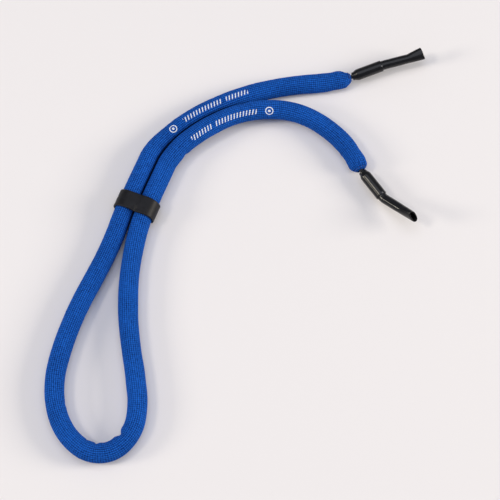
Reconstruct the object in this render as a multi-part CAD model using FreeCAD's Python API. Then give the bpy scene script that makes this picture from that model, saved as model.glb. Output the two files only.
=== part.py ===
import FreeCAD, Part
import math
import os

V = FreeCAD.Vector
UP = V(0, 0, 1)

# Eyeglass retainer strap, lying on a flat surface. Millimetres, +Z up.
# The origin is under the middle of the slider band, on the surface. The two strands run along +Y
# through the band: the neck loop lies towards -Y and the two temple grips towards +X and +Y.

# Strap: a knitted sleeve over a closed-cell foam core.
STRAP_R = 5.4
SLEEVE_WALL = 0.8
GATHER_LENGTH = 8.0         # the sleeve's ends are gathered to a blunt point over this length
GATHER_MID = (3.9, 4.55)    # distance from the tip and radius halfway along the gather
GATHER_FRONT = (0.5, 2.8)   # where the gather turns over to the tip's face
TIP_FACE_R = 2.3
SLEEVE_END_HOLE_R = 1.45
FOAM_R = 4.5
FOAM_SETBACK = 8.4          # from the sleeve's tip to the foam, room for the cord's knot

# Slider: a moulded rubber band round both strands.
BAND_LENGTH = 10.8
BAND_WALL = 1.0
BAND_CLEARANCE_SIDE = 0.4
BAND_CLEARANCE_TOP = 0.3
STRAND_OFFSET = 5.5
RAISED = BAND_WALL + BAND_CLEARANCE_TOP + STRAP_R   # height of the strands where the band travels
FLAT = STRAP_R                                      # height of a strand that lies on the surface

# The strap's route, from the left end through the band, round the neck loop and back through
# the band to the right end. Past the band the right strand rises a little, where it leans on the
# left one. The corners are rounded as far as their runs allow.
ROUTE = [
    (83.0, 121.4, FLAT), (72.9, 113.6, FLAT), (57.3, 106.0, FLAT), (42.4, 96.9, FLAT),
    (28.3, 85.8, FLAT), (15.0, 72.0, FLAT), (5.4, 59.4, FLAT), (-1.0, 46.4, FLAT),
    (-5.4, 34.0, RAISED), (-5.6, 13.0, RAISED), (-5.5, -8.0, RAISED), (-4.5, -25.0, FLAT),
    (-5.0, -43.1, FLAT), (-6.6, -62.1, FLAT), (-6.5, -80.0, FLAT), (-4.9, -98.0, FLAT),
    (-0.8, -115.1, FLAT), (7.7, -129.6, FLAT), (19.3, -138.8, FLAT), (32.9, -142.4, FLAT),
    (44.6, -136.6, FLAT), (49.8, -123.6, FLAT), (47.2, -108.6, FLAT), (39.2, -93.5, FLAT),
    (28.6, -76.5, FLAT), (19.5, -59.0, FLAT), (12.6, -41.5, FLAT), (8.0, -24.0, FLAT),
    (5.6, -8.0, RAISED), (5.4, 13.0, RAISED), (5.6, 33.0, RAISED), (11.3, 48.3, 8.1),
    (20.0, 61.8, 8.8), (30.6, 73.1, 8.8), (43.1, 81.7, 8.8), (56.3, 87.5, 7.0), (71.2, 88.8, FLAT),
    (87.4, 84.7, FLAT), (101.1, 77.1, FLAT), (109.6, 68.8, FLAT),
]
CORNER_SHARE = 0.45         # part of the shorter run that a corner's arc takes

# Neck cord: an elastic cord with a stopper knot at each end. It swings at the sleeve's end hole.
NECK_R = 1.1
NECK_EXPOSED = 1.1          # between the sleeve's tip and the collar
SWING_SETBACK = 0.4         # swing axis behind the sleeve's tip, halfway through its end wall
REAR_KNOT_R = 1.9
REAR_KNOT_SETBACK = 4.0     # knot centre behind the sleeve's tip
FRONT_KNOT_R = 1.75
TILT_DEPTH = 1.9            # knot centre, and tilt axis, inside the collar's rear face

# Thread wound round the gathered end of the sleeve.
THREAD_R = 0.22
THREAD_RING_R = 3.2
THREAD_SETBACK = 1.0

# Temple grip: a rubber tube held on a barbed stem by a collar.
COLLAR_R = 3.3
COLLAR_LENGTH = 18.3
COLLAR_REAR_R = 2.4         # narrower rear end, then a shoulder up to the full radius
COLLAR_REAR_LENGTH = 1.2
SHOULDER_LENGTH = 1.8
REAR_EDGE = 0.4
FRONT_EDGE = 0.25
TILT_MAX = 20.0
SLOT_CLEARANCE = 0.1
KNOT_CHAMBER_R = 1.95
KNOT_CHAMBER_START = 0.6
STEM_START = 3.9
STEM_HEAD_LENGTH = 0.5
TUBE_R = 2.75
TUBE_BORE_R = 1.4
BARB_AT = 15.0              # the stem's barb, inside the collar's grip
BARB_LENGTH = 1.6
BARB_R = 1.75
TUBE_EXPOSED = 25.0
FLARE_LENGTH = 9.0
MOUTH_HALF = (3.65, 2.1)
MOUTH_BORE_HALF = (3.0, 1.4)
BEND_SETBACK = 0.3          # straight length of tube between the collar and its bend

# Each grip leaves its sleeve end along its own heading and climb, and its tube bends gently
# towards the heading and climb at which the temple holds it. The mouth's long axis is turned by
# roll from the horizontal, and the flare may be pulled to one side by mouth_shift.
GRIPS = {
    "left": dict(tip=ROUTE[0], back=ROUTE[1], heading=41.7, climb=5.6,
                 tube_heading=36.2, tube_climb=4.0, bend_radius=20.0, roll=25.0, mouth_shift=0.9),
    "right": dict(tip=ROUTE[-1], back=ROUTE[-2], heading=-32.3, climb=0.0,
                  tube_heading=-20.5, tube_climb=20.8, bend_radius=7.0, roll=-90.0, mouth_shift=0.0),
}


def direction(heading, climb):
    """Unit vector at an angle from +X towards +Y, tipped up by climb degrees."""
    a = math.radians(heading)
    c = math.radians(climb)
    return V(math.cos(a) * math.cos(c), math.sin(a) * math.cos(c), math.sin(c))


def rounded_path(points):
    """Straight runs joined by tangent arcs. Returns the wire, its length and the arc radii."""
    pts = [V(*p) for p in points]
    edges = []
    radii = []
    start = pts[0]
    for before, corner, after in zip(pts, pts[1:], pts[2:]):
        back = before.sub(corner)
        ahead = after.sub(corner)
        reach = CORNER_SHARE * min(back.Length, ahead.Length)
        back.normalize()
        ahead.normalize()
        turn = math.pi - back.getAngle(ahead)
        radius = reach / math.tan(turn / 2)
        arc_in = corner + back * reach
        arc_out = corner + ahead * reach
        middle = back + ahead
        middle.normalize()
        arc_mid = corner + middle * (math.hypot(radius, reach) - radius)
        edges.append(Part.LineSegment(start, arc_in).toShape())
        edges.append(Part.Arc(arc_in, arc_mid, arc_out).toShape())
        radii.append(radius)
        start = arc_out
    edges.append(Part.LineSegment(start, pts[-1]).toShape())
    wire = Part.Wire(edges)
    return wire, wire.Length, radii


def swept_round(points, radius):
    """Solid round bar along a rounded path."""
    wire, length, radii = rounded_path(points)
    start = V(*points[0])
    heading = V(*points[1]).sub(start)
    profile = Part.Wire([Part.makeCircle(radius, start, heading)])
    bar = wire.makePipeShell([profile], True, False)
    return Part.Solid(bar) if bar.ShapeType != "Solid" else bar


def shortened(points, cut):
    """The same route with both ends drawn in by cut."""
    first = V(*points[0])
    last = V(*points[-1])
    in_first = V(*points[1]).sub(first).normalize()
    in_last = V(*points[-2]).sub(last).normalize()
    new_first = first + in_first * cut
    new_last = last + in_last * cut
    return [tuple(new_first)] + list(points[1:-1]) + [tuple(new_last)]


def turned(outline, origin, axis):
    """Solid of revolution from (distance along axis, radius) points and arc mid points.

    An outline entry of three numbers is the end of an arc: (along, radius, (mid along, mid radius)).
    """
    edges = []
    spots = []
    for entry in outline:
        spot = V(entry[0], entry[1], 0)
        if spots:
            if len(entry) == 3:
                mid = V(entry[2][0], entry[2][1], 0)
                edges.append(Part.Arc(spots[-1], mid, spot).toShape())
            else:
                edges.append(Part.LineSegment(spots[-1], spot).toShape())
        spots.append(spot)
    edges.append(Part.LineSegment(spots[-1], spots[0]).toShape())
    solid = Part.Face(Part.Wire(edges)).revolve(V(0, 0, 0), V(1, 0, 0), 360)
    solid.Placement = FreeCAD.Placement(origin, FreeCAD.Rotation(V(1, 0, 0), axis))
    return solid


def end_cap(tip, outward, inset):
    """Gathered end of the sleeve, or of its hollow when inset is the wall."""
    back, full = -GATHER_LENGTH, STRAP_R - inset
    mid = (-GATHER_MID[0], GATHER_MID[1] - inset)
    front = (-GATHER_FRONT[0] - inset, GATHER_FRONT[1] - inset)
    face = TIP_FACE_R - inset
    shoulder = ((front[0] - inset) / 2 + 0.15, (front[1] + face) / 2 + 0.1)
    outline = [
        (back, 0), (back, full),
        (front[0], front[1], mid),
        (-inset, face, shoulder),
        (-inset, 0),
    ]
    return turned(outline, tip, outward)


def strap_end(grip):
    tip = V(*grip["tip"])
    outward = tip.sub(V(*grip["back"])).normalize()
    return tip, outward


def make_sleeve():
    wall = SLEEVE_WALL
    outer = swept_round(shortened(ROUTE, GATHER_LENGTH), STRAP_R)
    hollow = swept_round(shortened(ROUTE, GATHER_LENGTH), STRAP_R - wall)
    for grip in GRIPS.values():
        tip, outward = strap_end(grip)
        hole = Part.makeCylinder(SLEEVE_END_HOLE_R, 2 * wall, tip - outward * (1.5 * wall), outward)
        outer = outer.fuse(end_cap(tip, outward, 0))
        hollow = hollow.fuse([end_cap(tip, outward, wall), hole])
    return outer.cut(hollow).removeSplitter().Solids[0]


def make_foam():
    return swept_round(shortened(ROUTE, FOAM_SETBACK), FOAM_R)


def stadium(half_width, half_height, length):
    """Bar along Y whose section is a rectangle with half-round ends, centred on its own axis."""
    straight = half_width - half_height
    a = V(-straight, -length / 2, half_height)
    b = V(straight, -length / 2, half_height)
    c = V(straight, -length / 2, -half_height)
    d = V(-straight, -length / 2, -half_height)
    right = V(half_width, -length / 2, 0)
    left = V(-half_width, -length / 2, 0)
    outline = Part.Wire([
        Part.LineSegment(a, b).toShape(), Part.Arc(b, right, c).toShape(),
        Part.LineSegment(c, d).toShape(), Part.Arc(d, left, a).toShape(),
    ])
    return Part.Face(outline).extrude(V(0, length, 0))


def make_band():
    inner_width = STRAND_OFFSET + STRAP_R + BAND_CLEARANCE_SIDE
    inner_height = STRAP_R + BAND_CLEARANCE_TOP
    outer = stadium(inner_width + BAND_WALL, inner_height + BAND_WALL, BAND_LENGTH)
    inner = stadium(inner_width, inner_height, 2 * BAND_LENGTH)
    band = outer.cut(inner)
    band.translate(V(0, 0, inner_height + BAND_WALL))
    return band


def make_thread(grip):
    tip, outward = strap_end(grip)
    return Part.makeTorus(THREAD_RING_R, THREAD_R, tip - outward * THREAD_SETBACK, outward)


def grip_frame(grip):
    """Swing pivot, axis along the neck cord and collar, and the collar's rear face centre."""
    tip, outward = strap_end(grip)
    axis = direction(grip["heading"], grip["climb"])
    pivot = tip - outward * SWING_SETBACK
    rear = pivot + axis * (SWING_SETBACK + NECK_EXPOSED)
    return pivot, axis, rear


def make_neck(grip):
    pivot, axis, rear = grip_frame(grip)
    rear_knot = pivot - axis * (REAR_KNOT_SETBACK - SWING_SETBACK)
    front_knot = rear + axis * TILT_DEPTH
    length = front_knot.sub(rear_knot).Length
    rear_in = math.sqrt(REAR_KNOT_R ** 2 - NECK_R ** 2)
    front_in = math.sqrt(FRONT_KNOT_R ** 2 - NECK_R ** 2)
    outline = [
        (-REAR_KNOT_R, 0), (rear_in, NECK_R, (0, REAR_KNOT_R)),
        (length - front_in, NECK_R),
        (length + FRONT_KNOT_R, 0, (length, FRONT_KNOT_R)),
    ]
    return turned(outline, rear_knot, axis)


def tilt_slot(rear, axis):
    """Room for the neck cord as the collar tips up by TILT_MAX about its front knot."""
    side = axis.cross(UP).normalize()
    knot = rear + axis * TILT_DEPTH
    radius = NECK_R + SLOT_CLEARANCE
    reach = 2.5 * TILT_DEPTH
    low = FreeCAD.Rotation(side, 180).multVec(axis)
    high = FreeCAD.Rotation(side, 180 - TILT_MAX).multVec(axis)
    room = [Part.makeCylinder(radius, reach, knot, d) for d in (low, high)]
    wedge = Part.makePolygon([knot, knot + low * reach, knot + high * reach, knot])
    wedge.translate(side * -radius)
    room.append(Part.Face(wedge).extrude(side * (2 * radius)))
    return room


def make_collar(grip):
    pivot, axis, rear = grip_frame(grip)
    rear_in = REAR_EDGE * (1 - math.sqrt(0.5))
    front_in = FRONT_EDGE * (1 - math.sqrt(0.5))
    outline = [
        (0, 0), (0, COLLAR_REAR_R - REAR_EDGE),
        (REAR_EDGE, COLLAR_REAR_R, (rear_in, COLLAR_REAR_R - rear_in)),
        (COLLAR_REAR_LENGTH, COLLAR_REAR_R),
        (COLLAR_REAR_LENGTH + SHOULDER_LENGTH, COLLAR_R),
        (COLLAR_LENGTH - FRONT_EDGE, COLLAR_R),
        (COLLAR_LENGTH, COLLAR_R - FRONT_EDGE, (COLLAR_LENGTH - front_in, COLLAR_R - front_in)),
        (COLLAR_LENGTH, 0),
    ]
    body = turned(outline, rear, axis)
    head_end = STEM_START + STEM_HEAD_LENGTH
    chamber = Part.makeCylinder(KNOT_CHAMBER_R, head_end - KNOT_CHAMBER_START,
                                rear + axis * KNOT_CHAMBER_START, axis)
    seat = Part.makeCylinder(TUBE_R, COLLAR_LENGTH, rear + axis * head_end, axis)
    return body.cut([chamber, seat] + tilt_slot(rear, axis)).Solids[0]


def make_stem(grip):
    """Barbed stem: a head that closes the knot chamber, a shank, and a barb in the tube."""
    pivot, axis, rear = grip_frame(grip)
    head_end = STEM_START + STEM_HEAD_LENGTH
    half = BARB_LENGTH / 2
    outline = [
        (STEM_START, 0), (STEM_START, KNOT_CHAMBER_R),
        (head_end, KNOT_CHAMBER_R), (head_end, TUBE_BORE_R),
        (BARB_AT - half, TUBE_BORE_R),
        (BARB_AT + half, TUBE_BORE_R, (BARB_AT, BARB_R)),
        (BARB_AT + half, 0),
    ]
    return turned(outline, rear, axis)


def tube_route(grip):
    """Bend start, middle and end, flare start and mouth of the tube, and its end direction."""
    pivot, axis, rear = grip_frame(grip)
    tangent = direction(grip["tube_heading"], grip["tube_climb"])
    radius = grip["bend_radius"]
    bend = axis.getAngle(tangent)
    inward = (tangent - axis * math.cos(bend)).normalize()
    start = rear + axis * (COLLAR_LENGTH + BEND_SETBACK)
    arc_mid = start + axis * (radius * math.sin(bend / 2)) + inward * (radius * (1 - math.cos(bend / 2)))
    arc_end = start + axis * (radius * math.sin(bend)) + inward * (radius * (1 - math.cos(bend)))
    straight = TUBE_EXPOSED - BEND_SETBACK - radius * bend - FLARE_LENGTH
    flare = arc_end + tangent * straight
    mouth = flare + tangent * FLARE_LENGTH
    return start, arc_mid, arc_end, flare, mouth, tangent


def tube_core(grip, radius):
    """Round body of the tube, or of its bore, up to the flare."""
    pivot, axis, rear = grip_frame(grip)
    start, arc_mid, arc_end, flare, mouth, tangent = tube_route(grip)
    first = rear + axis * (STEM_START + STEM_HEAD_LENGTH)
    edges = [
        Part.LineSegment(first, start).toShape(),
        Part.Arc(start, arc_mid, arc_end).toShape(),
        Part.LineSegment(arc_end, flare).toShape(),
    ]
    profile = Part.Wire([Part.makeCircle(radius, first, axis)])
    return Part.Wire(edges).makePipeShell([profile], True, False)


def barb_pocket(grip):
    """Swelling of the bore round the stem's barb."""
    pivot, axis, rear = grip_frame(grip)
    half = BARB_LENGTH / 2
    outline = [
        (BARB_AT - half, 0), (BARB_AT - half, TUBE_BORE_R),
        (BARB_AT + half, TUBE_BORE_R, (BARB_AT, BARB_R)),
        (BARB_AT + half, 0),
    ]
    return turned(outline, rear, axis)


def flare_loft(grip, radius, mouth_half, overrun):
    """Loft from the round tube to its flat oval mouth."""
    start, arc_mid, arc_end, flare, mouth, tangent = tube_route(grip)
    roll = FreeCAD.Rotation(tangent, grip["roll"])
    wide = roll.multVec(UP.cross(tangent).normalize())
    rings = []
    for share in (0.0, 0.35, 0.7, 1.0):
        half_wide = radius + (mouth_half[0] - radius) * share
        half_thick = radius + (mouth_half[1] - radius) * share
        centre = flare + tangent * (FLARE_LENGTH * share) + wide * (grip["mouth_shift"] * share)
        if share == 0:
            ring = Part.Circle(centre, tangent, radius)
            ring.XAxis = wide
        else:
            across = tangent.cross(wide)
            ring = Part.Ellipse(centre + wide * half_wide, centre + across * half_thick, centre)
        rings.append(Part.Wire([ring.toShape()]))
    loft = Part.makeLoft(rings, True, False)
    if overrun:
        end_face = Part.Face(rings[-1])
        loft = loft.fuse(end_face.extrude(tangent * overrun))
    return loft


def make_tube(grip):
    outer = tube_core(grip, TUBE_R).fuse(flare_loft(grip, TUBE_R, MOUTH_HALF, 0))
    bore = flare_loft(grip, TUBE_BORE_R, MOUTH_BORE_HALF, 1.0)
    bore = bore.fuse([tube_core(grip, TUBE_BORE_R), barb_pocket(grip)])
    return outer.cut(bore).Solids[0]


def rounded_numbers(vector, digits=5):
    return [round(c, digits) for c in vector]


def main():
    os.makedirs("parts", exist_ok=True)
    parts = {"strap_cover": make_sleeve(), "foam_core": make_foam(), "slider_band": make_band()}
    for side, grip in GRIPS.items():
        parts[side + "_end_thread"] = make_thread(grip)
        parts[side + "_neck_cord"] = make_neck(grip)
        parts[side + "_grip_collar"] = make_collar(grip)
        parts[side + "_grip_stem"] = make_stem(grip)
        parts[side + "_grip_tube"] = make_tube(grip)
    for name, shape in parts.items():
        shape.exportStep("parts/" + name + ".step")
        box = shape.BoundBox
        print(name, "valid", shape.isValid(), "solids", len(shape.Solids),
              "volume", round(shape.Volume, 2), "low", round(box.ZMin, 3), "high", round(box.ZMax, 3))

    wire, length, radii = rounded_path(ROUTE)
    core_length = rounded_path(shortened(ROUTE, FOAM_SETBACK))[1]
    section = math.pi * FOAM_R ** 2
    print("strap length", round(length, 1), "smallest radius", round(min(radii), 1))
    print("radii", [round(r) for r in radii])
    print("foam volume over section x length", round(parts["foam_core"].Volume / (section * core_length), 4))
    for side, grip in GRIPS.items():
        pivot, axis, rear = grip_frame(grip)
        start, arc_mid, arc_end, flare, mouth, tangent = tube_route(grip)
        print(side, "swing pivot", rounded_numbers(pivot), "tilt pivot",
              rounded_numbers(rear + axis * TILT_DEPTH), "tilt axis",
              rounded_numbers(axis.cross(UP).normalize()))
        print(side, "bore from", rounded_numbers(arc_end), "to", rounded_numbers(flare),
              "length", round(flare.sub(arc_end).Length, 2), "out", rounded_numbers(tangent),
              "mouth", rounded_numbers(mouth))


main()
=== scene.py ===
import bpy
import math
import numpy as np
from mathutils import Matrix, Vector


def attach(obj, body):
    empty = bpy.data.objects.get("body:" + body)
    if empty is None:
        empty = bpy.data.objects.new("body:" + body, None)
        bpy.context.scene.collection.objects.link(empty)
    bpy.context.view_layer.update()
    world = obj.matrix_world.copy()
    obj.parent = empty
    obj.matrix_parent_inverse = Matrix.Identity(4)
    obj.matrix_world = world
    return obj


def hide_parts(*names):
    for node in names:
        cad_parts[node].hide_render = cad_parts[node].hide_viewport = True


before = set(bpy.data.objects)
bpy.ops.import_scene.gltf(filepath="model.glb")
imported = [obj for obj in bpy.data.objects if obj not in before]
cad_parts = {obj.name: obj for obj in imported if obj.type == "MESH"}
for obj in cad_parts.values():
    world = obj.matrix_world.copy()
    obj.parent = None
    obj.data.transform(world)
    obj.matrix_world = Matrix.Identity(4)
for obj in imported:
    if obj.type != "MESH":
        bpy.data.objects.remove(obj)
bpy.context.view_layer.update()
MM = 0.001
scene = bpy.context.scene
TAU = 2 * math.pi

# ---------------------------------------------------------------- camera
TARGET = Vector((0.0683, 0.0018, 0.0))
VIEW_TURN = math.radians(22)
VIEW_UP = math.radians(69)
back = Vector((math.cos(VIEW_UP) * math.sin(VIEW_TURN), -math.cos(VIEW_UP) * math.cos(VIEW_TURN),
               math.sin(VIEW_UP)))
camera_data = bpy.data.cameras.new("camera")
camera_data.lens = 146.5
camera_data.sensor_width = 36
camera = bpy.data.objects.new("camera", camera_data)
scene.collection.objects.link(camera)
camera.location = TARGET + back * 1.15
camera.rotation_euler = (-back).to_track_quat("-Z", "Y").to_euler()
scene.camera = camera

# ---------------------------------------------------------------- sizes, as in the part's source (mm)
STRAP_R = 5.4
RAISED = 6.7
FLAT = 5.4
ROUTE = [
    (83.0, 121.4, FLAT), (72.9, 113.6, FLAT), (57.3, 106.0, FLAT), (42.4, 96.9, FLAT),
    (28.3, 85.8, FLAT), (15.0, 72.0, FLAT), (5.4, 59.4, FLAT), (-1.0, 46.4, FLAT),
    (-5.4, 34.0, RAISED), (-5.6, 13.0, RAISED), (-5.5, -8.0, RAISED), (-4.5, -25.0, FLAT),
    (-5.0, -43.1, FLAT), (-6.6, -62.1, FLAT), (-6.5, -80.0, FLAT), (-4.9, -98.0, FLAT),
    (-0.8, -115.1, FLAT), (7.7, -129.6, FLAT), (19.3, -138.8, FLAT), (32.9, -142.4, FLAT),
    (44.6, -136.6, FLAT), (49.8, -123.6, FLAT), (47.2, -108.6, FLAT), (39.2, -93.5, FLAT),
    (28.6, -76.5, FLAT), (19.5, -59.0, FLAT), (12.6, -41.5, FLAT), (8.0, -24.0, FLAT),
    (5.6, -8.0, RAISED), (5.4, 13.0, RAISED), (5.6, 33.0, RAISED), (11.3, 48.3, 8.1),
    (20.0, 61.8, 8.8), (30.6, 73.1, 8.8), (43.1, 81.7, 8.8), (56.3, 87.5, 7.0), (71.2, 88.8, FLAT),
    (87.4, 84.7, FLAT), (101.1, 77.1, FLAT), (109.6, 68.8, FLAT),
]
WALES = 28
GRIPS = {
    "left": dict(tip=ROUTE[0], back=ROUTE[1], heading=41.7, climb=5.6, tube_heading=36.2,
                 tube_climb=4.0, bend_radius=20.0, roll=25.0, mouth_shift=0.9, aslant=-0.5, thread=2.85,
                 pip=math.radians(24)),
    "right": dict(tip=ROUTE[-1], back=ROUTE[-2], heading=-32.3, climb=0.0, tube_heading=-20.5,
                  tube_climb=20.8, bend_radius=7.0, roll=-90.0, mouth_shift=0.0, aslant=1.3, thread=3.16,
                  pip=math.radians(-12)),
}
PRINT_AT = {
    "left": ((3.5, 58.8), (31.4, 89.2), (0.4, 51.1)),
    "right": ((11.8, 49.5), (40.3, 79.0), (47.1, 82.8)),
}
NECK_R = 1.1
NECK_EXPOSED = 1.1
SWING_SETBACK = 0.4
REAR_KNOT_R = 1.9
REAR_KNOT_SETBACK = 4.0
FRONT_KNOT_R = 1.75
TILT_DEPTH = 1.9
TILT_MAX = 20.0
COLLAR_R = 3.3
COLLAR_LENGTH = 18.3
TUBE_R = 2.75
TUBE_BORE_R = 1.4
BARB_AT = 15.0
BARB_LENGTH = 1.6
BARB_R = 1.75
TUBE_EXPOSED = 25.0
FLARE_LENGTH = 9.0
MOUTH_HALF = (3.65, 2.1)
MOUTH_BORE_HALF = (3.0, 1.4)
BEND_SETBACK = 0.3
STEM_START = 3.9
HEAD_END = 4.4
GATHER_LENGTH = 8.0
THREAD_SETBACK = 1.0


# ---------------------------------------------------------------- small helpers
def unit(v):
    v = np.asarray(v, float)
    return v / np.linalg.norm(v, axis=-1, keepdims=True)


def smooth(x, a, b):
    """0 before a, 1 after b, and an even curve between."""
    t = np.clip((np.asarray(x, float) - a) / (b - a), 0, 1)
    return t * t * (3 - 2 * t)


def bell(x, width):
    return np.exp(-(np.asarray(x, float) / width) ** 2)


def wave_noise(a, b, seed, scale_a, scale_b, count=9):
    """Smooth noise over two coordinates, about -1 to 1; b is an angle."""
    rng = np.random.default_rng(seed)
    total = 0.0
    for _ in range(count):
        ka = rng.uniform(0.35, 1.0) / scale_a * rng.choice((-1, 1))
        kb = int(rng.integers(0, scale_b + 1))
        total = total + np.sin(TAU * ka * a + kb * b + rng.uniform(0, TAU))
    return total / count * 1.6


def mesh_object(name, verts, faces, material, corner_uv=None):
    mesh = bpy.data.meshes.new(name)
    mesh.from_pydata((np.asarray(verts) * MM).tolist(), [], faces)
    mesh.polygons.foreach_set("use_smooth", [True] * len(mesh.polygons))
    if corner_uv is not None:
        layer = mesh.uv_layers.new(name="lay")
        layer.data.foreach_set("uv", np.asarray(corner_uv, "f").ravel())
    mesh.materials.append(material)
    mesh.update()
    obj = bpy.data.objects.new(name, mesh)
    scene.collection.objects.link(obj)
    return obj


def grid(rings, us, vs, closed=False):
    """Vertices, quads and corner UVs of rings (n, m, 3). us has a value for each ring, and one more
    if closed; vs has m + 1 values."""
    n, m = rings.shape[:2]
    rows = n if closed else n - 1
    i = np.repeat(np.arange(rows), m)
    j = np.tile(np.arange(m), rows)
    i2 = (i + 1) % n
    j2 = (j + 1) % m
    quads = np.stack([i * m + j, i * m + j2, i2 * m + j2, i2 * m + j], 1)
    us = np.asarray(us, float)
    vs = np.asarray(vs, float)
    uv = np.stack([
        np.stack([us[i], vs[j]], 1), np.stack([us[i], vs[j + 1]], 1),
        np.stack([us[i + 1], vs[j + 1]], 1), np.stack([us[i + 1], vs[j]], 1)], 1)
    return rings.reshape(-1, 3), quads.tolist(), uv.reshape(-1, 2)


def fans(verts, faces, uv, ring_index, m, flip):
    """Closes one ring with a fan to its middle."""
    start = ring_index * m
    ring = verts[start:start + m]
    verts = np.vstack([verts, ring.mean(0)])
    centre = len(verts) - 1
    j = np.arange(m)
    a = start + j
    b = start + (j + 1) % m
    tri = np.stack([b, a, np.full(m, centre)], 1) if flip else np.stack([a, b, np.full(m, centre)], 1)
    faces = faces + tri.tolist()
    uv = np.vstack([uv, np.zeros((3 * m, 2))])
    return verts, faces, uv


def running(points):
    """Distance along a row of points."""
    step = np.linalg.norm(np.diff(points, axis=0), axis=1)
    return np.concatenate([[0], np.cumsum(step)])


def tube(name, line, radius, material, m=12, closed=False):
    """Round bar along a line of points. radius is a number, one per point, or one per point and angle."""
    line = np.asarray(line, float)
    n = len(line)
    if closed:
        tangent = unit(np.roll(line, -1, 0) - np.roll(line, 1, 0))
    else:
        tangent = unit(np.gradient(line, axis=0))
    side = np.zeros_like(line)
    start = np.array([0, 0, 1.0]) if abs(tangent[0][2]) < 0.8 else np.array([1.0, 0, 0])
    side[0] = unit(np.cross(start, tangent[0]))
    for k in range(1, n):
        s = side[k - 1] - tangent[k] * side[k - 1].dot(tangent[k])
        side[k] = unit(s)
    if closed:
        # take up the twist that is left over once round
        end = side[-1] - tangent[0] * side[-1].dot(tangent[0])
        up0 = np.cross(tangent[0], side[0])
        twist = math.atan2(end.dot(up0), end.dot(side[0]))
        turn = -twist * np.arange(n) / n
        up = np.cross(tangent, side)
        side = side * np.cos(turn)[:, None] + up * np.sin(turn)[:, None]
    up = np.cross(tangent, side)
    t = TAU * np.arange(m) / m
    r = np.asarray(radius, float)
    r = r[:, None] * np.ones(m) if r.ndim == 1 else r * np.ones((n, m))
    rings = (line[:, None] + side[:, None] * (r * np.cos(t))[..., None]
             + up[:, None] * (r * np.sin(t))[..., None])
    us = running(line)
    if closed:
        us = np.append(us, us[-1] + np.linalg.norm(line[0] - line[-1]))
    vs = TAU * np.arange(m + 1) / m * float(np.mean(r))
    verts, faces, uv = grid(rings, us * MM, vs * MM, closed)
    if not closed:
        verts, faces, uv = fans(verts, faces, uv, 0, m, True)
        verts, faces, uv = fans(verts, faces, uv, n - 1, m, False)
    return mesh_object(name, verts, faces, material, uv)


# ---------------------------------------------------------------- materials
def new_material(name, colour, roughness):
    m = bpy.data.materials.new(name)
    m.use_nodes = True
    shader = m.node_tree.nodes["Principled BSDF"]
    shader.inputs["Base Color"].default_value = (*colour, 1)
    shader.inputs["Roughness"].default_value = roughness
    return m, Graph(m.node_tree), shader


class Graph:
    """Short ways to add shader nodes."""

    def __init__(self, tree):
        self.tree = tree

    def put(self, value, socket):
        if hasattr(value, "is_output"):
            self.tree.links.new(value, socket)
        else:
            socket.default_value = value

    def node(self, kind, **inputs):
        n = self.tree.nodes.new(kind)
        for key, value in inputs.items():
            self.put(value, n.inputs[key.replace("_", " ")])
        return n

    def math(self, operation, a, b=0.0, c=0.0):
        n = self.tree.nodes.new("ShaderNodeMath")
        n.operation = operation
        for value, socket in zip((a, b, c), n.inputs):
            self.put(value, socket)
        return n.outputs[0]

    def add(self, a, b): return self.math("ADD", a, b)
    def sub(self, a, b): return self.math("SUBTRACT", a, b)
    def mul(self, a, b): return self.math("MULTIPLY", a, b)
    def sin(self, a): return self.math("SINE", a)
    def cos(self, a): return self.math("COSINE", a)
    def absolute(self, a): return self.math("ABSOLUTE", a)
    def top(self, a, b): return self.math("MAXIMUM", a, b)
    def low(self, a, b): return self.math("MINIMUM", a, b)

    def step(self, value, edge, soft):
        """1 where value is under edge, 0 over it."""
        n = self.tree.nodes.new("ShaderNodeMapRange")
        n.interpolation_type = "SMOOTHSTEP"
        self.put(value, n.inputs["Value"])
        n.inputs["From Min"].default_value = edge - soft
        n.inputs["From Max"].default_value = edge + soft
        n.inputs["To Min"].default_value = 1
        n.inputs["To Max"].default_value = 0
        return n.outputs["Result"]

    def lay(self):
        uv = self.tree.nodes.new("ShaderNodeUVMap")
        uv.uv_map = "lay"
        split = self.tree.nodes.new("ShaderNodeSeparateXYZ")
        self.tree.links.new(uv.outputs[0], split.inputs[0])
        return split.outputs[0], split.outputs[1]

    def noise(self, scale, detail=3.0, vector=None):
        n = self.node("ShaderNodeTexNoise", Scale=scale, Detail=detail)
        if vector is None:
            vector = self.tree.nodes.new("ShaderNodeTexCoord").outputs["Object"]
        self.tree.links.new(vector, n.inputs["Vector"])
        return n.outputs["Fac"]

    def mix(self, factor, a, b):
        n = self.tree.nodes.new("ShaderNodeMix")
        n.data_type = "RGBA"
        self.put(factor, n.inputs[0])
        self.put(a, n.inputs[6])
        self.put(b, n.inputs[7])
        return n.outputs[2]

    def bump(self, height, distance, strength, shader, after=None):
        n = self.node("ShaderNodeBump", Height=height, Distance=distance, Strength=strength)
        if after is not None:
            self.tree.links.new(after, n.inputs["Normal"])
        self.tree.links.new(n.outputs[0], shader.inputs["Normal"])
        return n.outputs[0]


CIRCUMFERENCE = TAU * STRAP_R * MM
WALE = CIRCUMFERENCE / WALES
COURSE = 1.15 * MM


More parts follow.
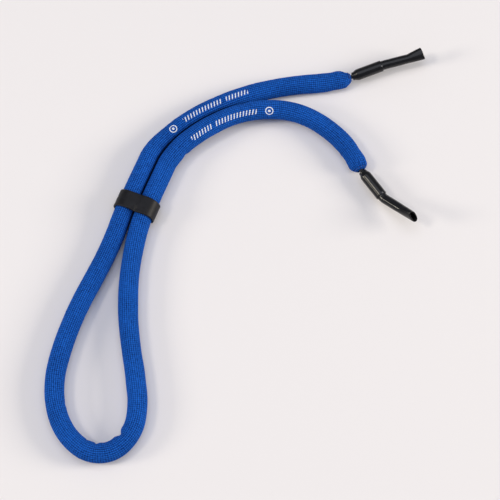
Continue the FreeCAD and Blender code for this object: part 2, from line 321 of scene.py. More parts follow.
def knit_material():
    """Royal blue knit with fine wales along the tube, and two plain white printed rows."""
    m, g, shader = new_material("sleeve_knit", (0.035, 0.13, 0.5), 0.82)
    u, v = g.lay()
    across = g.mul(v, 1 / WALE)
    off_middle = g.absolute(g.sub(g.math("FRACT", across), 0.5))
    slant = g.mul(off_middle, 0.3 * COURSE)
    along = g.mul(g.add(u, slant), TAU / COURSE)
    rib = g.sub(1.0, g.math("POWER", g.mul(off_middle, 2.0), 2.2))
    loops = g.mul(g.add(g.cos(along), 1.0), 0.5)
    height = g.mul(g.add(g.mul(rib, 0.85), 0.15), g.add(g.mul(loops, 0.45), 0.55))
    wear = g.noise(55.0, 4.0)
    yarn = g.noise(900.0, 2.0)
    fuzz = g.noise(2600.0, 2.0)
    # colour follows the knit's height: the low grooves between ribs and loops are painted darker (painted
    # shade), with random tone from the wear and yarn noise
    groove_shade_and_tone = g.add(g.mul(height, 0.90), g.add(g.mul(g.sub(wear, 0.5), 0.35), g.mul(g.sub(yarn, 0.5), 0.8)))
    blue = g.mix(groove_shade_and_tone, (0.0002, 0.004, 0.045, 1), (0.0140, 0.136, 0.635, 1))

    def row(start, end, middle, badge):
        """A row of thin slanted strokes from start to end along the tube, and a ring with a dot at badge."""
        y = g.sub(v, middle)
        span = abs(end - start)
        low_end = min(start, end)
        inside = g.step(g.absolute(y), 1.45 * MM, 0.1 * MM)
        x = g.sub(u, low_end)
        inside = g.mul(inside, g.step(g.absolute(g.sub(x, span / 2)), span / 2, 0.05 * MM))
        lean = g.add(x, g.mul(y, 0.35))
        strokes = g.mul(inside, g.step(g.math("PINGPONG", lean, 0.95 * MM), 0.33 * MM, 0.08 * MM))
        word_gap = g.step(g.absolute(g.sub(x, span * 0.36)), 1.3 * MM, 0.05 * MM)
        strokes = g.mul(strokes, g.sub(1.0, word_gap))
        dx = g.sub(u, badge)
        far = g.math("SQRT", g.add(g.mul(dx, dx), g.mul(y, y)))
        ring = g.step(g.absolute(g.sub(far, 2.1 * MM)), 0.28 * MM, 0.08 * MM)
        dot = g.step(far, 0.75 * MM, 0.08 * MM)
        return g.top(strokes, g.top(ring, dot))

    mark = g.top(row(*PRINT_LEFT), row(*PRINT_RIGHT))
    mark = g.mul(mark, g.add(0.62, g.mul(height, 0.55)))
    mark = g.low(mark, 1.0)
    colour = g.mix(mark, blue, (0.80, 0.84, 0.92, 1))
    # painted shade: the attribute read here darkens the knit to near black in the groove where the two
    # strands press together
    groove_shade = g.tree.nodes.new("ShaderNodeAttribute")
    groove_shade.attribute_name = "groove_shade"
    colour = g.mix(groove_shade.outputs["Fac"], colour, (0.0008, 0.0010, 0.004, 1))
    g.tree.links.new(colour, shader.inputs["Base Color"])
    shader.inputs["Sheen Weight"].default_value = 0.05
    shader.inputs["Sheen Roughness"].default_value = 0.5
    shader.inputs["Sheen Tint"].default_value = (0.1, 0.35, 1, 1)
    shader.inputs["Specular IOR Level"].default_value = 0.04
    total = g.add(height, g.mul(fuzz, 0.35))
    g.bump(total, 0.22 * MM, 0.9, shader)
    return m


def rubber_material(name, colour, roughness, shine, grain, depth):
    m, g, shader = new_material(name, colour, roughness)
    grains = g.noise(grain, 3.0)
    patches = g.noise(420.0, 3.0)
    dust = g.add(g.mul(g.sub(g.add(g.mul(grains, 0.4), g.mul(patches, 0.6)), 0.5), 2.2), 0.5)
    light = tuple(min(1, c * 1.9 + 0.004) for c in colour) + (1,)
    dark = tuple(c * 0.6 for c in colour) + (1,)
    # where u is below -0.5 (the collar's pip, whose UVs are set to -1) the colour is a light grey: a painted
    # glint on the pip
    u, _ = g.lay()
    g.tree.links.new(g.mix(g.step(u, -0.5, 0.1), g.mix(dust, dark, light), (0.11, 0.11, 0.12, 1)),
                     shader.inputs["Base Color"])
    g.tree.links.new(g.add(roughness - 0.05, g.mul(patches, 0.1)), shader.inputs["Roughness"])
    shader.inputs["Specular IOR Level"].default_value = shine
    g.bump(grains, depth * MM, 0.4, shader)
    return m


def foam_material():
    m, g, shader = new_material("core_foam", (0.1, 0.1, 0.11), 0.9)
    cells = g.node("ShaderNodeTexVoronoi", Scale=1500.0)
    g.tree.links.new(g.tree.nodes.new("ShaderNodeTexCoord").outputs["Object"], cells.inputs["Vector"])
    patches = g.noise(90.0)
    g.tree.links.new(g.mix(g.add(g.mul(cells.outputs["Distance"], 0.8), g.mul(patches, 0.3)),
                           (0.04, 0.04, 0.045, 1), (0.15, 0.15, 0.16, 1)), shader.inputs["Base Color"])
    g.bump(cells.outputs["Distance"], 0.2 * MM, 0.6, shader)
    return m


def braid_material(name, dark, light, pitch, count, radius):
    """Strands wound both ways round a cord."""
    m, g, shader = new_material(name, light[:3], 0.7)
    u, v = g.lay()
    turns = g.mul(v, count / (TAU * radius * MM))
    runs = g.mul(u, 1 / (pitch * MM))
    one = g.absolute(g.sin(g.mul(g.add(runs, turns), math.pi)))
    two = g.absolute(g.sin(g.mul(g.sub(runs, turns), math.pi)))
    height = g.top(one, two)
    fuzz = g.noise(3000.0, 2.0)
    # the low parts between the strands are painted darker (painted shade), with fuzz noise for random tone
    g.tree.links.new(g.mix(g.mul(height, g.add(fuzz, 0.4)), dark, light), shader.inputs["Base Color"])
    shader.inputs["Sheen Weight"].default_value = 0.2
    g.bump(height, 0.15 * MM, 0.8, shader)
    return m


def stem_material():
    m, g, shader = new_material("stem_plastic", (0.05, 0.05, 0.05), 0.42)
    patches = g.noise(400.0)
    g.tree.links.new(g.mix(patches, (0.03, 0.03, 0.03, 1), (0.07, 0.07, 0.07, 1)),
                     shader.inputs["Base Color"])
    g.bump(g.noise(1500.0), 0.03 * MM, 0.4, shader)
    return m


# ---------------------------------------------------------------- the strap's line
# more points on the stretch that the band travels, to keep it straight up to its ends, and softer
# corners past it
SOFTENED = {(-5.4, 34.0, RAISED): [(-4.1, 38.8, 6.2), (-5.45, 32.0, RAISED)],
            (5.6, 33.0, RAISED): [(5.5, 31.0, RAISED), (7.5, 39.5, 7.3)]}
points = []
for here, ahead in zip(ROUTE, ROUTE[1:]):
    points += SOFTENED.get(here, [here])
    if here[2] == ahead[2] == RAISED:
        points += [tuple(p + (q - p) * share for p, q in zip(here, ahead)) for share in (0.22, 0.78)]
points.append(ROUTE[-1])
curve = bpy.data.curves.new("strap_line", "CURVE")
curve.dimensions = "3D"
curve.resolution_u = 16
spline = curve.splines.new("NURBS")
spline.points.add(len(points) - 1)
for point, place in zip(spline.points, points):
    point.co = (place[0] * MM, place[1] * MM, place[2] * MM, 1)
spline.order_u = 3
spline.use_endpoint_u = True
curve_object = bpy.data.objects.new("strap_line", curve)
scene.collection.objects.link(curve_object)
line_mesh = bpy.data.meshes.new_from_object(curve_object.evaluated_get(
    bpy.context.evaluated_depsgraph_get()))
line = np.array([v.co[:] for v in line_mesh.vertices]) / MM
bpy.data.meshes.remove(line_mesh)
bpy.data.objects.remove(curve_object)
line_run = running(line)
LENGTH = float(line_run[-1])


def on_line(s):
    return np.stack([np.interp(s, line_run, line[:, k]) for k in range(3)], 1)


def line_frames(s):
    """Point, direction, side and up of the strap's line at distances s."""
    p = on_line(s)
    t = unit(on_line(np.minimum(s + 1.2, LENGTH)) - on_line(np.maximum(s - 1.2, 0)))
    side = unit(np.cross(t, [0, 0, 1]))
    up = np.cross(side, t)
    return p, t, side, up


def nearest(x, y):
    """Distance along the line of the point nearest to x, y."""
    d = np.hypot(line[:, 0] - x, line[:, 1] - y)
    return float(line_run[int(np.argmin(d))])


# printed rows: start and end along the strap, middle round it, and the badge's place (metres)
TOP = CIRCUMFERENCE / 2
PRINT_LEFT = (nearest(*PRINT_AT["left"][0]) * MM, nearest(*PRINT_AT["left"][1]) * MM, TOP,
              nearest(*PRINT_AT["left"][2]) * MM)
PRINT_RIGHT = (nearest(*PRINT_AT["right"][0]) * MM, nearest(*PRINT_AT["right"][1]) * MM, TOP + 2.8 * MM,
               nearest(*PRINT_AT["right"][2]) * MM)

KNIT = knit_material()
FOAM = foam_material()
BAND = rubber_material("band_rubber", (0.0030, 0.0030, 0.0048), 0.48, 0.22, 1500.0, 0.08)
GRIP = rubber_material("grip_rubber", (0.0022, 0.0021, 0.0030), 0.19, 0.34, 2200.0, 0.008)
CORD = braid_material("neck_cord", (0.003, 0.003, 0.0035, 1), (0.02, 0.02, 0.022, 1), 1.1, 6, NECK_R)
THREAD = braid_material("end_thread", (0.002, 0.012, 0.08, 1), (0.01, 0.06, 0.3, 1), 0.5, 2, 0.22)
STEM = stem_material()


# ---------------------------------------------------------------- strap
AROUND = WALES * 6


def strap_mesh():
    """Knitted sleeve: fine ribs, soft flats where it lies, creases inside bends, gathered ends."""
    end_steps = np.concatenate([[0, 0.12, 0.3], np.arange(0.6, 9.1, 0.42)])
    middle = np.arange(9.6, LENGTH - 9.3, 1.32)
    s = np.concatenate([end_steps, middle, LENGTH - end_steps[::-1]])
    p, t, side, up = line_frames(s)
    n = len(s)
    drift = 0.10 * np.sin(TAU * s / 190 + 0.6) + 0.06 * np.sin(TAU * s / 83)
    index = np.arange(AROUND)
    # angle 0 is the lowest line of the tube, so that the seam of the coordinates lies underneath
    theta = TAU * index[None, :] / AROUND + drift[:, None]
    cx = -np.sin(theta)
    cy = -np.cos(theta)
    r = np.full((n, AROUND), STRAP_R)
    r -= 0.06 * np.cos(TAU * index / 6)[None, :]
    S = s[:, None] * np.ones(AROUND)
    calm_a = bell((s - nearest(-5.6, 13)) / 1.0, 34)
    calm_b = bell((s - nearest(5.4, 13)) / 1.0, 34)
    loose = (1 - np.maximum(calm_a, calm_b))[:, None]
    r += 0.13 * wave_noise(S, theta, 3, 38, 3) * loose
    r += 0.06 * wave_noise(S, theta, 8, 11, 5) * loose

    # creases on the inside of the bends
    bend = np.gradient(unit(np.gradient(p, axis=0)), axis=0) / np.gradient(s)[:, None]
    inward = (bend * side).sum(1)
    face = np.sign(inward)[:, None] * cx
    hold = np.clip(face, 0, 1) ** 1.5
    for where, depth, width in CREASES:
        at = nearest(*where)
        r -= depth * bell(s - at, width)[:, None] * np.clip(face, 0, 1) ** 1.2
        r += 0.16 * depth * (bell(s - at - 2.1 * width, 1.2 * width)
                             + bell(s - at + 2.1 * width, 1.2 * width))[:, None] * hold

    # gathered ends, each with a lobe that bags out on one side
    for tip, seed, lobe, other, profile in (
            (0.0, 5, math.pi / 2, -0.45, (2.35, 2.95, 3.7, 4.5, 5.0, 5.28, 5.4)),
            (LENGTH, 9, -math.pi / 2, 0.6, (2.35, 3.4, 4.23, 4.85, 5.2, 5.36, 5.4))):
        u = np.abs(s - tip)[:, None]
        near = u < 16
        share = np.clip(u / GATHER_LENGTH, 0, 1)
        shape = np.interp(u, np.arange(7) * GATHER_LENGTH / 6, profile)
        closing = np.interp(u, [0, 0.12, 0.3, 0.6], [0.84, 0.94, 0.985, 1])
        phase = np.random.default_rng(seed).uniform(0, TAU)
        swirl = theta + 0.05 * u
        folds = np.abs(np.cos(4.5 * swirl + phase + 0.5 * np.sin(2 * swirl + phase))) - 0.64
        uneven = 1 + 0.35 * np.sin(swirl + phase) + 0.2 * np.sin(3 * swirl + 2 * phase)
        depth = 0.75 * smooth(u, 0, 1.6) * (1 - smooth(u, 2.0, 8.5)) + 0.18 * (1 - smooth(u, 0, 2))
        bag = 0.5 * bell(u - 3.0, 2.6) * np.clip(np.cos(theta - lobe), 0, 1) ** 2
        bag += other * bell(u - 2.6, 2.4) * np.clip(-np.cos(theta - lobe), 0, 1) ** 2
        waist = -0.28 * bell(u - 11.0, 3.0)
        gathered = (shape + (r - STRAP_R) * share) * closing + folds * uneven * depth + bag + waist
        r = np.where(near, gathered, r)
    x = r * cx
    y = r * cy
    # soft flat where the tube lies on the surface
    floor = -(p[:, 2:3]) + 0.02
    depth = 0.35 * smooth(-y, 4.3, 5.4)
    y = y + depth * (np.abs(floor) < 6.2)
    x = x * (1 + 0.012 * bell(y / STRAP_R, 0.6))
    rings = p[:, None] + side[:, None] * x[..., None] + up[:, None] * y[..., None]
    # hems turned in at both ends
    hem = []
    for end, inward_sign in ((0, 1), (n - 1, -1)):
        spokes = unit(rings[end] - p[end])
        hem.append(np.array([p[end] + spokes * 1.55 + t[end] * 0.35 * inward_sign,
                             p[end] + spokes * 1.6 + t[end] * 1.4 * inward_sign]))
    rings = np.concatenate([hem[0][::-1], rings, hem[1]])
    us = np.concatenate([[-0.002, -0.001], s * MM, [LENGTH * MM + 0.001, LENGTH * MM + 0.002]])
    vs = CIRCUMFERENCE * np.arange(AROUND + 1) / AROUND
    verts, faces, uv = grid(rings, us, vs)
    sleeve = mesh_object("strap_sleeve", verts, faces, KNIT, uv)
    # painted shade: the knit is darkened to near black where the two strands press together and light is
    # blocked
    gap = np.full(rings.shape[:2], 9.0)
    for ring, at, centre, row in zip(rings[2:-2], s, p, gap[2:-2]):
        beside = line[(np.abs(line_run - at) > 60) & (np.linalg.norm(line - centre, axis=1) < 14)]
        if len(beside):
            row[:] = np.linalg.norm(ring[:, None] - beside, axis=2).min(axis=1) - STRAP_R
    groove_shade = sleeve.data.attributes.new("groove_shade", "FLOAT", "POINT")
    groove_shade.data.foreach_set("value", (0.9 * (1 - smooth(gap, 0.6, 1.7))).ravel())
    return sleeve


# places where the sleeve kinks, with the depth and width of each crease
CREASES = [
    ((34.5, -136.8), 0.85, 1.3), ((44.3, -126.8), 1.5, 2.0), ((27.8, -141.4), 0.3, 1.0),
    ((4.5, -125.0), 0.2, 1.4),
    ((13.9, 39.6), 0.5, 1.6), ((96.0, 80.2), 0.25, 1.2),
]

strap = strap_mesh()


def foam_mesh():
    s = np.linspace(8.4, LENGTH - 8.4, 420)
    p, _, side, up = line_frames(s)
    a = TAU * np.arange(28) / 28
    S = s[:, None] * np.ones(28)
    T = np.ones((len(s), 1)) * a
    r = 4.42 + 0.03 * wave_noise(S, T, 21, 9, 4) + 0.02 * wave_noise(S, T, 22, 3, 6)
    # the foam gives way under the sleeve's creases
    for where, depth, width in CREASES:
        r -= depth * bell(S - nearest(*where), 1.6 * width)
    r[0] -= 0.25
    r[-1] -= 0.25
    rings = (p[:, None] + side[:, None] * (r * np.sin(-a))[..., None]
             + up[:, None] * (r * -np.cos(a))[..., None])
    verts, faces, uv = grid(rings, s * MM, TAU * 4.4 * MM * np.arange(29) / 28)
    verts, faces, uv = fans(verts, faces, uv, 0, 28, True)
    verts, faces, uv = fans(verts, faces, uv, len(s) - 1, 28, False)
    return mesh_object("foam_rod", verts, faces, FOAM, uv)


foam = foam_mesh()


# ---------------------------------------------------------------- grips
def direction(heading, climb):
    a = math.radians(heading)
    c = math.radians(climb)
    return np.array([math.cos(a) * math.cos(c), math.sin(a) * math.cos(c), math.sin(c)])


def grip_frame(grip):
    tip = np.array(grip["tip"])
    outward = unit(tip - np.array(grip["back"]))
    axis = direction(grip["heading"], grip["climb"])
    pivot = tip - outward * SWING_SETBACK
    rear = pivot + axis * (SWING_SETBACK + NECK_EXPOSED)
    return tip, outward, pivot, axis, rear


def cross_frame(axis):
    side = unit(np.cross(axis, [0, 0, 1]))
    return side, np.cross(side, axis)


def turn_about(axis, v, degrees):
    a = math.radians(degrees)
    return v * math.cos(a) + np.cross(axis, v) * math.sin(a) + axis * axis.dot(v) * (1 - math.cos(a))


def thread_mesh(name, grip):
    """Gathering thread, running in and out of the pleats round the sleeve's end."""
    tip, outward, _, _, _ = grip_frame(grip)
    side, up = cross_frame(outward)
    a = TAU * np.arange(220) / 220
    r = grip["thread"] + 0.10 * np.cos(9 * a) + 0.05 * np.cos(4 * a + 1)
    off = 0.12 * np.sin(9 * a) - THREAD_SETBACK
    pts = (tip + side * (r * np.cos(a))[:, None] + up * (r * np.sin(a))[:, None]
           + outward * off[:, None])
    radius = 0.2 + 0.02 * np.cos(60 * a)
    return tube(name, pts, radius, THREAD, 10, closed=True)


def neck_mesh(name, grip):
    """Braided cord with a tight stopper knot at each end."""
    _, _, pivot, axis, rear = grip_frame(grip)
    start = pivot - axis * (REAR_KNOT_SETBACK - SWING_SETBACK)
    end = rear + axis * TILT_DEPTH
    length = float(np.linalg.norm(end - start))
    s = np.linspace(-REAR_KNOT_R, length + FRONT_KNOT_R, 90)
    a = TAU * np.arange(36) / 36
    S = s[:, None] * np.ones(36)
    A = np.ones((len(s), 1)) * a
    r = np.full_like(S, NECK_R - 0.03) + 0.045 * np.cos(6 * A + TAU * S / 2.4) * np.cos(6 * A - TAU * S / 2.4)
    for at, size in ((0.0, REAR_KNOT_R), (length, FRONT_KNOT_R)):
        d = S - at
        ball = np.sqrt(np.clip(size ** 2 - d ** 2, 0, None))
        wound = 1 - 0.09 * (0.5 + 0.5 * np.cos(2 * A + TAU * d / 2.2)) ** 2
        inside = np.abs(d) <= size
        r = np.where(inside & (ball * wound > r), ball * wound, r)
    r[0] = 0.05
    r[-1] = 0.05
    r[1] = np.minimum(r[1], 0.9)
    r[-2] = np.minimum(r[-2], 0.9)
    cap = np.sqrt(np.clip(REAR_KNOT_R ** 2 - s ** 2, 0.0025, None))
    cap_front = np.sqrt(np.clip(FRONT_KNOT_R ** 2 - (s - length) ** 2, 0.0025, None))
    r = np.where((S < 0), np.minimum(r, cap[:, None]), r)
    r = np.where((S > length), np.minimum(r, cap_front[:, None]), r)
    line_points = start + axis * s[:, None]
    return tube(name, line_points, r, CORD, 36)


def lathe(origin, axis, alongs, radii, m):
    """Rings round an axis. radii is one per ring, or one per ring and angle from straight up."""
    side, up = cross_frame(axis)
    a = TAU * np.arange(m) / m
    rows = []
    for along, r in zip(alongs, radii):
        r = np.asarray(r) * np.ones(m)
        rows.append(origin + axis * along + side * (r * np.sin(a))[:, None] + up * (r * np.cos(a))[:, None])
    return np.array(rows)


def slot_radius(a, reach, radius):
    """Radius of a slot that runs from the middle up by reach, at angles from straight up."""
    a = np.abs((a + math.pi) % TAU - math.pi)
    out = np.full_like(a, radius)
    edge = math.atan2(radius, reach)
    top = a < edge
    out[top] = reach * np.cos(a[top]) + np.sqrt(radius ** 2 - (reach * np.sin(a[top])) ** 2)
    flank = (a >= edge) & (a < math.pi / 2)
    out[flank] = radius / np.sin(a[flank])
    return out


def pip(centre, along, side, normal):
    """Small moulded pip on a surface."""
    rows = []
    a = TAU * np.arange(14) / 14
    for k in np.linspace(0, 0.93, 6):
        r = math.cos(k * math.pi / 2)
        h = math.sin(k * math.pi / 2)
        rows.append(centre + along * (0.62 * r * np.cos(a))[:, None] + side * (0.5 * r * np.sin(a))[:, None]
                    + normal * (0.42 * h - 0.15))
    return np.array(rows)


def join(parts):
    """One vertex, face and UV list from several."""
    verts, faces, uvs = [], [], []
    base = 0
    for v, f, w in parts:
        verts.append(v)
        faces += [[i + base for i in face] for face in f]
        uvs.append(w)
        base += len(v)
    return np.vstack(verts), faces, np.vstack(uvs)


def collar_mesh(name, grip):
    """Moulded collar: narrow rear end, shoulder, and a seat for the tube."""
    _, _, _, axis, rear = grip_frame(grip)
    m = 72
    a = TAU * np.arange(m) / m
    around = (a + math.pi) % TAU - math.pi
    flats = 0.02 * np.cos(6 * around)
    L = COLLAR_LENGTH
    outer = [(0.0, 1.85), (0.03, 2.05), (0.14, 2.24), (0.4, 2.37), (0.8, 2.39), (1.15, 2.4),
             (1.6, 2.58), (2.2, 2.86), (2.8, 3.12), (3.3, 3.24)]
    outer += [(x, 3.27) for x in np.linspace(4.0, L - 1.2, 26)]
    outer += [(L - 0.6, 3.29), (L - 0.25, 3.28), (L - 0.07, 3.2), (L, 3.05), (L, 2.85)]
    alongs = []
    radii = []
    for x, r in outer:
        form = float(smooth(x, 2.0, 4.5) * (1 - smooth(x, L - 1.5, L - 0.5)))
        alongs.append(x)
        radii.append(r + flats * form)
    for x, r in ((L - 0.1, 2.77), (L - 0.5, 2.76), (9.0, 2.76), (HEAD_END, 2.76)):
        alongs.append(x)
        radii.append(np.full(m, r))
    for x in (HEAD_END, 3.9, 2.0, 0.7):
        alongs.append(x)
        radii.append(np.full(m, 1.96))
    tan_max = math.tan(math.radians(TILT_MAX))
    for x in (0.6, 0.3, 0.05):
        alongs.append(x)
        radii.append(slot_radius(a, (TILT_DEPTH - x) * tan_max + 0.02, NECK_R + 0.1))
    radii[0] = np.maximum(radii[0], radii[-1] + 0.08)
    radii[1] = np.maximum(radii[1], radii[-1] + 0.14)
    rings = lathe(rear, axis, alongs, radii, m)
    us = np.concatenate([running(rings[:, 0]), [running(rings[:, 0])[-1] + 0.1]]) * MM
    vs = TAU * COLLAR_R * MM * np.arange(m + 1) / m
    body = grid(rings[:, ::-1], us, vs, closed=True)
    side, up = cross_frame(axis)
    lean = grip["pip"]
    normal = up * math.cos(lean) + side * math.sin(lean)
    bead = pip(rear + axis * (L - 0.45) + normal * 3.26, axis, np.cross(axis, normal), normal)
    v, f, w = grid(bead, np.zeros(len(bead)), np.zeros(bead.shape[1] + 1))
    v, f, w = fans(v, f, w, len(bead) - 1, bead.shape[1], False)
    # UVs of -1 make rubber_material paint the pip light grey, a painted highlight
    w[:] = -1
    verts, faces, uv = join([body, (v, f, w)])
    return mesh_object(name, verts, faces, GRIP, uv)


def stem_mesh(name, grip):
    """Barbed nylon stem with a round head."""
    _, _, _, axis, rear = grip_frame(grip)
    half = BARB_LENGTH / 2
    profile = [(STEM_START, 1.6), (STEM_START + 0.03, 1.8), (STEM_START + 0.1, 1.93), (4.3, 1.94),
               (HEAD_END, 1.9), (HEAD_END, 1.5), (4.7, 1.38)]
    profile += [(x, 1.37 + 0.02 * math.sin(6 * x)) for x in np.linspace(5.2, BARB_AT - half - 0.1, 16)]
    profile += [(BARB_AT - half, 1.38), (BARB_AT - half * 0.5, 1.62), (BARB_AT, 1.73),
                (BARB_AT + half * 0.5, 1.62), (BARB_AT + half, 1.36), (BARB_AT + half, 1.0)]
    rings = lathe(rear, axis, [x for x, r in profile], [r for x, r in profile], 40)[:, ::-1]
    v, f, w = grid(rings, running(rings[:, 0]) * MM, TAU * 1.4 * MM * np.arange(41) / 40)
    v, f, w = fans(v, f, w, 0, 40, True)
    v, f, w = fans(v, f, w, len(profile) - 1, 40, False)
    return mesh_object(name, v, f, STEM, w)


def tube_mesh(name, grip):
    """Rubber tube: round where the collar holds it, bent, then flared to a flat mouth."""
    _, _, _, axis, rear = grip_frame(grip)
    end_dir = direction(grip["tube_heading"], grip["tube_climb"])
    radius = grip["bend_radius"]
    bend = math.acos(float(axis.dot(end_dir)))
    inward = unit(end_dir - axis * math.cos(bend))
    first = HEAD_END
    start = COLLAR_LENGTH + BEND_SETBACK
    arc = radius * bend
    total = COLLAR_LENGTH + TUBE_EXPOSED
    flare_at = total - FLARE_LENGTH
    s = np.concatenate([np.linspace(first, COLLAR_LENGTH - 0.6, 12),
                        np.arange(COLLAR_LENGTH - 0.3, total - 0.7, 0.38),
                        [total - 0.5, total - 0.28, total - 0.1, total - 0.02, total]])
    pts = np.zeros((len(s), 3))
    tan = np.zeros((len(s), 3))
    corner = rear + axis * start
    for k, x in enumerate(s):
        if x <= start:
            pts[k] = rear + axis * x
            tan[k] = axis
            continue
        turn = min((x - start) / radius, bend)
        here = corner + axis * (radius * math.sin(turn)) + inward * (radius * (1 - math.cos(turn)))
        tan[k] = axis * math.cos(turn) + inward * math.sin(turn)
        pts[k] = here + tan[k] * max(0.0, x - start - arc)
    flat_side = unit(np.cross([0, 0, 1], end_dir))
    wide_end = turn_about(end_dir, flat_side, grip["roll"])
    wide = unit(wide_end - tan * (tan @ wide_end)[:, None])
    thick = np.cross(tan, wide)
    m = 64
    a = TAU * np.arange(m) / m
    share = np.clip((s - flare_at) / FLARE_LENGTH, 0, 1) ** 0.9

    def section(base, mouth, power_end):
        half_w = base + (mouth[0] - base) * share
        half_t = base + (mouth[1] - base) * share
        power = 2 + (power_end - 2) * share
        c = np.abs(np.cos(a))[None, :] ** (2 / power)[:, None] * np.sign(np.cos(a))
        z = np.abs(np.sin(a))[None, :] ** (2 / power)[:, None] * np.sign(np.sin(a))
        return half_w[:, None] * c, half_t[:, None] * z

    ow, ot = section(TUBE_R - 0.02, MOUTH_HALF, 2.35)
    iw, it = section(TUBE_BORE_R + 0.02, MOUTH_BORE_HALF, 2.5)
    # the wall thins to a soft lip at the mouth
    lip = np.interp(s, [total - 0.5, total - 0.28, total - 0.1, total - 0.02, total],
                    [1, 0.985, 0.95, 0.915, 0.88])[:, None]
    ow, ot = ow * lip, ot * lip
    # small creases inside the bend and a slight waist before the flare
    facing = (wide * inward).sum(1)[:, None] * np.cos(a) + (thick * inward).sum(1)[:, None] * np.sin(a)
    mid_bend = start + arc / 2
    crease = 0.11 * np.cos(TAU * (s - mid_bend) / 1.7) * min(1, bend * 3)
    crease = crease * bell(s - mid_bend, arc * 0.7 + 0.5)
    scale = 1 + (crease[:, None] * np.clip(facing, 0, 1) ** 2) / TUBE_R
    scale = scale * (1 - 0.03 * bell(s - flare_at + 0.5, 2.2))[:, None]
    scale = scale + 0.002 * np.sin(1.3 * s)[:, None] * np.cos(2 * a) * smooth(s, 18.5, 20)[:, None]
    ow, ot = ow * scale, ot * scale
    # room for the stem's barb
    swell = 1 + (BARB_R - TUBE_BORE_R) / TUBE_BORE_R * np.cos(
        np.clip((s - BARB_AT) / (BARB_LENGTH / 2), -1, 1) * math.pi / 2)
    iw, it = iw * swell[:, None], it * swell[:, None]
    # the mouth is cut a little aslant, and its lips curl
    slant = grip["aslant"] * smooth(s, total - 6, total)[:, None] * np.cos(a)
    pts = pts + wide * (grip["mouth_shift"] * share)[:, None]
    outer = pts[:, None] + wide[:, None] * ow[..., None] + thick[:, None] * ot[..., None]
    outer = outer + tan[:, None] * slant[..., None]
    inner = pts[:, None] + wide[:, None] * iw[..., None] + thick[:, None] * it[..., None]
    inner = inner + tan[:, None] * slant[..., None]
    rings = np.concatenate([outer, inner[::-1]])
    us = running(rings[:, 0])
    us = np.append(us, us[-1] + 1.1) * MM
    verts, faces, uv = grid(rings[:, ::-1], us, TAU * TUBE_R * MM * np.arange(m + 1) / m, closed=True)
    return mesh_object(name, verts, faces, GRIP, uv)


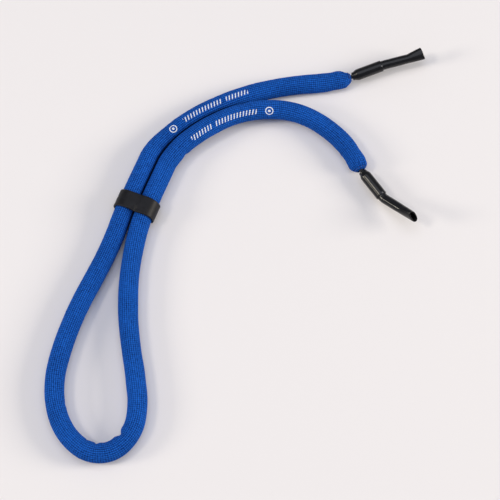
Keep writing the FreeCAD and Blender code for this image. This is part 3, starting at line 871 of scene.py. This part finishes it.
for side_name, grip in GRIPS.items():
    for kind, build, body, slot in (
            ("end_thread", thread_mesh, "strap", "end_thread"),
            ("neck_cord", neck_mesh, side_name + "_neck", "neck_cord"),
            ("grip_collar", collar_mesh, side_name + "_grip", "grip_rubber"),
            ("grip_stem", stem_mesh, side_name + "_grip", "stem_plastic"),
            ("grip_tube", tube_mesh, side_name + "_grip", "grip_rubber")):
        node = side_name + "_" + kind
        piece = build(node + "_look", grip)
        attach(piece, body)
        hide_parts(node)


# ---------------------------------------------------------------- slider band
def band_mesh():
    """Moulded band, rounded at its rims and drawn in a little between the two strands."""
    wall = 1.0
    inner_w = 5.5 + 5.4 + 0.4
    inner_h = 5.4 + 0.3
    straight = inner_w - inner_h
    m = 200
    perimeter = 4 * straight + TAU * inner_h
    q = perimeter * np.arange(m) / m
    base = np.zeros((m, 2))
    normal = np.zeros((m, 2))
    for k, x in enumerate(q):
        if x < 2 * straight:
            base[k] = (-straight + x, inner_h)
            normal[k] = (0, 1)
        elif x < 2 * straight + math.pi * inner_h:
            b = (x - 2 * straight) / inner_h
            normal[k] = (math.sin(b), math.cos(b))
            base[k] = (straight + inner_h * normal[k][0], inner_h * normal[k][1])
        elif x < 4 * straight + math.pi * inner_h:
            base[k] = (straight - (x - 2 * straight - math.pi * inner_h), -inner_h)
            normal[k] = (0, -1)
        else:
            b = (x - 4 * straight - math.pi * inner_h) / inner_h
            normal[k] = (-math.sin(b), -math.cos(b))
            base[k] = (-straight + inner_h * normal[k][0], inner_h * normal[k][1])
    half = 5.4
    profile = []
    for y in np.linspace(-half + 0.5, half - 0.5, 18):
        profile.append((y, wall))
    for b in np.linspace(0.25, 1, 5) * math.pi / 2:
        profile.append((half - 0.5 + 0.5 * math.sin(b), wall - 0.5 + 0.5 * math.cos(b)))
    for b in np.linspace(0.3, 1, 4) * math.pi / 2:
        profile.append((half - 0.3 + 0.3 * math.cos(b), 0.3 - 0.3 * math.sin(b)))
    for y in np.linspace(half - 1.0, -half + 1.0, 14):
        profile.append((y, 0.0))
    for b in np.linspace(1, 0.3, 4) * math.pi / 2:
        profile.append((-half + 0.3 - 0.3 * math.cos(b), 0.3 - 0.3 * math.sin(b)))
    for b in np.linspace(1, 0.25, 5) * math.pi / 2:
        profile.append((-half + 0.5 - 0.5 * math.sin(b), wall - 0.5 + 0.5 * math.cos(b)))
    profile = np.array(profile)
    y = profile[:, 0][:, None] * np.ones(m)
    h = profile[:, 1][:, None]
    x = base[:, 0] + normal[:, 0] * h
    z = base[:, 1] + normal[:, 1] * h
    pinch = bell(x, 1.9)
    rear_front = 0.20 + 0.95 * smooth(-y, 1.5, 5.4) + 0.15 * smooth(y, 2.0, 5.4)
    dip = pinch * rear_front * np.where(normal[:, 1] > 0, 1, 0.0) * np.clip(z / inner_h, 0, 1)
    rise = pinch * 0.6 * np.where(normal[:, 1] < 0, 1, 0.0) * np.clip(-z / inner_h, 0, 1)
    z = z - dip + rise
    y = y * (1 - 0.045 * bell(x, 3.2))
    y = y + 0.18 * np.sin(x * 0.33 + 0.8) * (y / half)
    rings = np.stack([x, y, z + inner_h + wall], -1)
    us = np.append(running(rings[:, 0]), running(rings[:, 0])[-1] + 0.5) * MM
    vs = np.append(q, perimeter) * MM
    verts, faces, uv = grid(rings, us, vs, closed=True)
    return mesh_object("slider_band_look", verts, faces, BAND, uv)


band = band_mesh()
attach(band, "slider")
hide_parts("slider_band")

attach(strap, "strap")
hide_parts("strap_cover")
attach(foam, "strap")
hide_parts("foam_core")

# ---------------------------------------------------------------- floor and light
floor_mesh = bpy.data.meshes.new("floor")
floor_mesh.from_pydata([(-3, -3, 0), (3, -3, 0), (3, 3, 0), (-3, 3, 0)], [], [(0, 1, 2, 3)])
floor_material, _, floor_shader = new_material("floor", (0.798, 0.778, 0.795), 0.9)
floor_shader.inputs["Specular IOR Level"].default_value = 0.1
floor_mesh.materials.append(floor_material)
floor = bpy.data.objects.new("floor", floor_mesh)
floor.location.z = -0.0001
scene.collection.objects.link(floor)

world = bpy.data.worlds.new("world")
scene.world = world
world.use_nodes = True
world.node_tree.nodes["Background"].inputs[0].default_value = (0.85, 0.89, 1.0, 1)
world.node_tree.nodes["Background"].inputs[1].default_value = 0.33


def area_light(name, place, size, power, colour):
    data = bpy.data.lights.new(name, "AREA")
    data.shape = "RECTANGLE"
    data.size, data.size_y = size
    data.energy = power
    data.color = colour
    lamp = bpy.data.objects.new(name, data)
    lamp.location = place
    lamp.rotation_euler = (TARGET - Vector(place)).to_track_quat("-Z", "Y").to_euler()
    scene.collection.objects.link(lamp)
    return lamp


RIGHT = Vector((math.cos(VIEW_TURN), math.sin(VIEW_TURN), 0))
AWAY = Vector((-math.sin(VIEW_TURN), math.cos(VIEW_TURN), 0))
WARM = (1.0, 0.92, 0.78)
COOL = (0.86, 0.90, 1.0)
for name, across, away, up, size, power, colour in (
        ("light_left", -1.88, -0.26, 0.85, 0.5, 15.5, WARM),
        ("light_left_high", -1.3, -0.22, 1.75, 0.42, 10.0, WARM),
        ("light_right", 1.9, 0.0, 0.85, 0.8, 32.0, WARM),
        ("light_top", 0.0, 0.1, 1.7, 1.5, 9.3, COOL)):
    area_light(name, TARGET + RIGHT * across + AWAY * away + Vector((0, 0, up)), (size, size), power, colour)
scene.view_settings.view_transform = "Standard"
